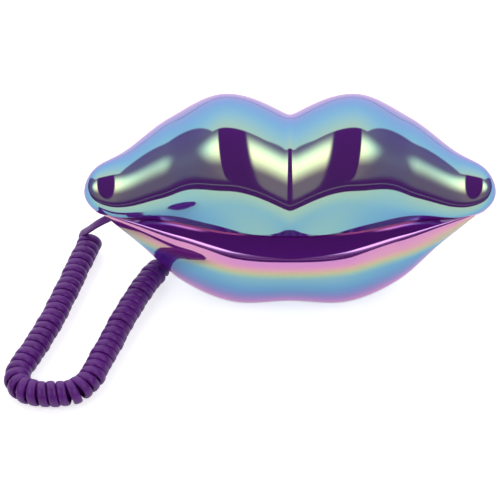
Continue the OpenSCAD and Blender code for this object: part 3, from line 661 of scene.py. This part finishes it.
# what opens the base, as in part.scad: the round seats of the pads, and boxes from corner to corner, in mm
PADS, PAD_R, PAD_Z, ABOVE = [(-36.5, -15), (36.5, -15), (-28, 29.5), (28, 29.5)], 4.55, 48.4, 52
OPENINGS = {
    "hook": [(32.2, 4.2, 45.4), (40.8, 9.8, ABOVE)],
    "cord_pocket": [(-96, 1, 9), (-56, 15, 22)],
    "cord_slot": [(-88.34, -1.25, 31.4), (-77.74, 18.75, 50.4)],
    "ringer_slide": [(5.7, 30.5, 15.7), (14.3, 50, 20.3)],
    "tone_slide": [(23.7, 30.5, 15.7), (32.3, 50, 20.3)],
    "line_socket": [(-33, 30.4, 13.85), (-19, 50.4, 25.75)],
}
cut(lower, [cutter_rod(PAD_R, PAD_Z, ABOVE, at) for at in PADS]
    + [cutter_box(lo, hi) for lo, hi in OPENINGS.values()])
sharpen(upper)
sharpen(lower)
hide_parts("handset_shell")
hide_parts("base_shell")
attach(upper, "handset")
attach(lower, "base")


# ------------------------------------------------------------------ finishes of the other pieces
def moulded(name, base, rough, grain=1600, depth=0.00004, **sockets):
    """Injection-moulded plastic: a fine satin grain and a slight drift of colour and gloss."""
    m = material(name, base, sum(rough) / 2, **sockets)
    vary(m, base, 0.07, 70, rough)
    bump(m, noise(m, grain, 3), 0.25, depth)
    return m


def rubber(name, base):
    """Matt rubber with a powdery surface."""
    m = material(name, base, 0.85, Specular_IOR_Level=0.3)
    vary(m, base, 0.16, 220, (0.78, 0.92))
    bump(m, noise(m, 2600, 4, 0.7), 0.4, 0.00005)
    return m


def metal(name, base, rough):
    """Metal with fine streaks of the tool along one direction, and some tarnish."""
    m = material(name, base, sum(rough) / 2, 1.0)
    f = noise(m, STREAK, 3)
    vary_rough(m, f, rough)
    spots = noise(m, 160, 5, 0.6)
    worn = tuple(c * 0.72 for c in base)
    link(m, ramp(m, spots, [(0.42, worn), (0.55, base)]), principled(m).inputs["Base Color"])
    bump(m, f, 0.2, 0.00003)
    return m


def cast(name, base):
    """Rough cast iron, darker in its pits."""
    m = material(name, base, 0.6, 0.9)
    f = noise(m, 900, 8, 0.7)
    pits = tuple(c * 0.45 for c in base)
    link(m, ramp(m, f, [(0.35, pits), (0.6, base)]), principled(m).inputs["Base Color"])
    bump(m, f, 0.7, 0.0002)
    return m


def circuit_board(name):
    """Green solder mask over copper tracks, with tinned pads between them."""
    m = material(name, (0.01, 0.09, 0.04), 0.3)
    cells = node(m, "ShaderNodeTexVoronoi", feature="DISTANCE_TO_EDGE", distance="MANHATTAN")
    cells.inputs["Scale"].default_value = 1.0
    link(m, object_coords(m, 260), cells.inputs["Vector"])
    tracks = ramp(m, cells.outputs["Distance"], [(0.05, (0.02, 0.17, 0.07)), (0.09, (0.008, 0.085, 0.038))])
    dots = node(m, "ShaderNodeTexVoronoi")
    dots.inputs["Scale"].default_value = 1.0
    link(m, object_coords(m, 330), dots.inputs["Vector"])
    pads = ramp(m, dots.outputs["Distance"], [(0.13, (1, 1, 1)), (0.17, (0, 0, 0))])
    mix = node(m, "ShaderNodeMix", data_type="RGBA")
    link(m, pads, mix.inputs["Factor"])
    link(m, tracks, mix.inputs["A"])
    mix.inputs["B"].default_value = (0.55, 0.53, 0.5, 1)
    link(m, mix.outputs["Result"], principled(m).inputs["Base Color"])
    bump(m, cells.outputs["Distance"], 0.2, 0.00004)
    return m


def clear_plug(name):
    """Clear moulding of the cord's plugs, a little cloudy."""
    m = material(name, (0.86, 0.86, 0.9), 0.15, Transmission_Weight=0.75, IOR=1.49)
    vary(m, (0.86, 0.86, 0.9), 0.06, 120, (0.08, 0.22))
    return m


def pressed_face(name, base):
    """The pressed face of a speaker or microphone, finely dotted."""
    m = material(name, base, 0.5, 0.6)
    f = noise(m, 1800, 2)
    dots = tuple(c * 0.6 for c in base)
    link(m, ramp(m, f, [(0.3, dots), (0.7, base)]), principled(m).inputs["Base Color"])
    bump(m, f, 0.5, 0.0001)
    return m


def paint(mat, *names):
    """Gives the CAD nodes of these names the material."""
    for n in names:
        for s in frame["nodes"][n].material_slots:
            s.material = mat


# how fine the noise of the tool's streaks is along them and across
STREAK = (40, 900, 900)
LEGENDS = {f"key_{k}": str(k) for k in range(10)}
LEGENDS.update(key_star="*", key_hash="#", key_redial="R", key_flash="F")
paint(moulded("inner_plastic", (0.06, 0.018, 0.10), (0.34, 0.46), Coat_Weight=0.1), "handset_cover")
paint(moulded("plate_plastic", (0.05, 0.016, 0.085), (0.48, 0.6), 900, 0.0001), "base_plate")
paint(moulded("key_plastic", (0.78, 0.76, 0.84), (0.34, 0.44)), *LEGENDS)
paint(rubber("key_rubber", (0.22, 0.22, 0.24)), "key_mat", "earpiece_gasket", "microphone_boot")
paint(rubber("foot_rubber", (0.025, 0.025, 0.027)), "rubber_feet", "seat_pads")
paint(circuit_board("board"), "handset_board", "base_board")
paint(pressed_face("capsule_metal", (0.62, 0.62, 0.64)), "earpiece_speaker", "microphone")
paint(metal("ringer_brass", (0.75, 0.58, 0.26), (0.22, 0.4)), "ringer")
paint(cast("ballast_iron", (0.26, 0.26, 0.28)), "ballast_weight")
paint(moulded("socket_plastic", (0.05, 0.05, 0.055), (0.4, 0.5)), "handset_jack", "base_jack", "hook_switch",
      "ringer_switch", "tone_switch")
paint(moulded("line_socket_plastic", (0.72, 0.72, 0.74), (0.36, 0.46)), "line_jack")
paint(clear_plug("plug_clear"), "handset_plug", "base_plug")
paint(moulded("plunger_plastic", (0.68, 0.65, 0.74), (0.3, 0.4)), "hook_plunger")
paint(moulded("knob_plastic", (0.03, 0.03, 0.032), (0.45, 0.55)), "ringer_knob", "tone_knob")
paint(metal("steel", (0.6, 0.6, 0.62), (0.25, 0.45)), "handset_screws", "base_screws", "hook_spring")


# ------------------------------------------------------------------ the characters on the keys
INK = moulded("legend_ink", (0.07, 0.02, 0.12), (0.35, 0.45))
# the character's height as a share of the key, its thickness and gap to the key, and which way its top points
LEGEND_SHARE, LEGEND_T, LEGEND_GAP = 0.62, 0.03, 0.01
LEGEND_TURN = math.pi / 2


def legend(key, text):
    """The character printed on a key's face, which looks down at rest. It moves with its key."""
    lo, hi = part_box(key)
    data = bpy.data.curves.new("legend", "FONT")
    data.body = text
    data.align_x = "CENTER"
    data.align_y = "CENTER"
    data.size = LEGEND_SHARE * min(hi.x - lo.x, hi.y - lo.y)
    data.extrude = LEGEND_T * MM
    data.materials.append(INK)
    ob = bpy.data.objects.new("legend_source", data)
    bpy.context.collection.objects.link(ob)
    bpy.context.view_layer.update()
    me = bpy.data.meshes.new_from_object(ob)
    bpy.data.objects.remove(ob)
    xs = [v.co.x for v in me.vertices]
    ys = [v.co.y for v in me.vertices]
    mid = Vector(((min(xs) + max(xs)) / 2, (min(ys) + max(ys)) / 2, 0))
    me.transform(Matrix.Translation(-mid))
    # turned over to look down, with the character's top towards the earpiece
    me.transform(Matrix.Rotation(math.pi, 4, "X"))
    me.transform(Matrix.Rotation(LEGEND_TURN, 4, "Z"))
    me.transform(Matrix.Translation(((lo.x + hi.x) / 2, (lo.y + hi.y) / 2, lo.z - LEGEND_GAP * MM)))
    out = bpy.data.objects.new("legend_" + key[4:], me)
    bpy.context.collection.objects.link(out)
    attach(out, frame["nodes"][key]["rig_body"])


for key_name, letter in LEGENDS.items():
    legend(key_name, letter)


# ------------------------------------------------------------------ stage and light
def stage_plane(name, size, at, mat):
    """A level square of the stage, with its middle at the place."""
    me = bpy.data.meshes.new(name)
    s = size / 2
    me.from_pydata([(-s, -s, 0), (s, -s, 0), (s, s, 0), (-s, s, 0)], [], [(0, 1, 2, 3)])
    ob = bpy.data.objects.new(name, me)
    ob.location = at
    bpy.context.collection.objects.link(ob)
    me.materials.append(mat)
    return ob


def floor_material():
    """A plain pale floor. Part of its white is its own, so the open floor is white and the shadow faint."""
    m = material("floor", (0.92, 0.92, 0.93), 0.7)
    out = m.node_tree.nodes["Material Output"]
    lp = node(m, "ShaderNodeLightPath")
    em = node(m, "ShaderNodeEmission")
    # seen straight, and less so in a reflection
    mirrored = node(m, "ShaderNodeMath", operation="MULTIPLY")
    mirrored.inputs[1].default_value = FLOOR_MIRRORED
    link(m, lp.outputs["Is Glossy Ray"], mirrored.inputs[0])
    share = node(m, "ShaderNodeMath", operation="MULTIPLY_ADD")
    share.inputs[1].default_value = FLOOR_GLOW
    link(m, lp.outputs["Is Camera Ray"], share.inputs[0])
    link(m, mirrored.outputs[0], share.inputs[2])
    link(m, share.outputs[0], em.inputs["Strength"])
    both = node(m, "ShaderNodeAddShader")
    link(m, principled(m).outputs["BSDF"], both.inputs[0])
    link(m, em.outputs["Emission"], both.inputs[1])
    link(m, both.outputs["Shader"], out.inputs["Surface"])
    return m


FLOOR_GLOW, FLOOR_MIRRORED = 0.66, 0.42
# the table's front edge lies 0.33 m in front of the telephone, and its top just under the feet
TABLE_FRONT, TABLE_SIZE, TABLE_Z = 0.33, 6, -0.0002
stage_plane("floor", TABLE_SIZE, (0, TABLE_SIZE / 2 - TABLE_FRONT, TABLE_Z), floor_material())


world = bpy.data.worlds.new("world")
bpy.context.scene.world = world
world.use_nodes = True


def world_light():
    """A white studio with a dark room in front, a softbox on each side of it. The camera sees plain white."""
    nt = world.node_tree
    nt.nodes.clear()
    tc = nt.nodes.new("ShaderNodeTexCoord")
    sep = nt.nodes.new("ShaderNodeSeparateXYZ")
    nt.links.new(tc.outputs["Generated"], sep.inputs[0])
    X, Y, Z = sep.outputs

    def m(op, a, b=None):
        """The result of a math node."""
        n = nt.nodes.new("ShaderNodeMath")
        n.operation = op
        for k, v in enumerate((a, b)):
            if v is None:
                continue
            if isinstance(v, (int, float)):
                n.inputs[k].default_value = v
            else:
                nt.links.new(v, n.inputs[k])
        return n.outputs[0]

    def smooth(v, lo, hi, a=0.0, b=1.0):
        """From a where v is below lo to b where it is above hi, without a kink."""
        n = nt.nodes.new("ShaderNodeMapRange")
        n.interpolation_type = "SMOOTHSTEP"
        for k, w in zip(("From Min", "From Max", "To Min", "To Max"), (lo, hi, a, b)):
            n.inputs[k].default_value = w
        nt.links.new(v, n.inputs["Value"])
        return n.outputs["Result"]

    ax = m("ABSOLUTE", X)
    front = m("MULTIPLY", Y, -1)
    # turn: 0 at the horizon in front, a quarter turn overhead, half a turn at the horizon behind
    # slope: sideways per upwards
    turn = m("ARCTAN2", Z, front)
    slope = m("DIVIDE", ax, m("MAXIMUM", Z, 0.02))
    # the white sweep behind the telephone reaches a little past overhead, and only so far to the sides
    side = m("ADD", m("MULTIPLY", Y, SWEEP_WIDE), m("MULTIPLY", Z, SWEEP_RISE))
    sweep = m("MULTIPLY", smooth(turn, SWEEP_TURN - 0.02, SWEEP_TURN + 0.02),
              smooth(m("SUBTRACT", side, ax), -0.03, 0.05))
    # a softbox on each side: a straight inner edge, brightest next to it, fading outwards and along the turn
    inner = smooth(slope, BOX_EDGE - 0.03, BOX_EDGE + 0.04)
    outward = smooth(slope, BOX_FADE[0], BOX_FADE[1], 1.0, BOX_FADE[2])
    off = m("ABSOLUTE", m("SUBTRACT", turn, BOX_TURN))
    lift = smooth(off, BOX_LIFT[0], BOX_LIFT[1], 1.0, BOX_LIFT[2])
    above = smooth(Z, 0.03, 0.2)
    glow = m("ADD", m("MULTIPLY", m("MULTIPLY", outward, lift), BOX_LEVEL), BOX_DIM)
    boxes = m("MULTIPLY", m("MULTIPLY", inner, glow), above)
    # the thin grey line at the horizon
    line = m("MULTIPLY", smooth(m("ABSOLUTE", m("SUBTRACT", turn, LINE_TURN)), 0.006, 0.014, LINE_LEVEL, 0.0),
             smooth(front, 0.0, 0.2))
    room = m("ADD", m("ADD", boxes, ROOM_LEVEL), line)
    # white again from well below the horizon, past the table's front edge
    below = smooth(Z, -0.30, -0.26, 1.0, 0.0)
    level = m("ADD", m("MULTIPLY", sweep, WHITE_LEVEL), m("MULTIPLY", m("SUBTRACT", 1.0, sweep), room))
    level = m("MAXIMUM", level, m("MULTIPLY", below, WHITE_LEVEL))
    bg = nt.nodes.new("ShaderNodeBackground")
    bg.inputs["Color"].default_value = (1, 1, 1, 1)
    nt.links.new(level, bg.inputs["Strength"])
    seen = nt.nodes.new("ShaderNodeBackground")
    seen.inputs["Color"].default_value = (1, 1, 1, 1)
    seen.inputs["Strength"].default_value = 1.0
    lp = nt.nodes.new("ShaderNodeLightPath")
    mix = nt.nodes.new("ShaderNodeMixShader")
    nt.links.new(lp.outputs["Is Camera Ray"], mix.inputs[0])
    nt.links.new(bg.outputs[0], mix.inputs[1])
    nt.links.new(seen.outputs[0], mix.inputs[2])
    out = nt.nodes.new("ShaderNodeOutputWorld")
    nt.links.new(mix.outputs[0], out.inputs[0])


# turns in radians, slopes sideways per upwards; a fade has where it starts, where it ends and what is left
SWEEP_TURN, SWEEP_WIDE, SWEEP_RISE = 1.72, 1.2, 0.5
BOX_EDGE, BOX_FADE, BOX_TURN = 0.36, (0.4, 2.0, 0.02), 1.1
BOX_LIFT, BOX_LEVEL, BOX_DIM = (0.0, 0.6, 0.03), 2.5, 0.15
LINE_TURN, LINE_LEVEL = -0.05, 0.35
ROOM_LEVEL, WHITE_LEVEL = 0.02, 1.15
world_light()
sc = bpy.context.scene
sc.view_settings.view_transform = "Standard"

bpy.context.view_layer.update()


def seen(ob):
    """The pixels where the object's vertices fall."""
    return [pixel(v.co) for v in ob.data.vertices]
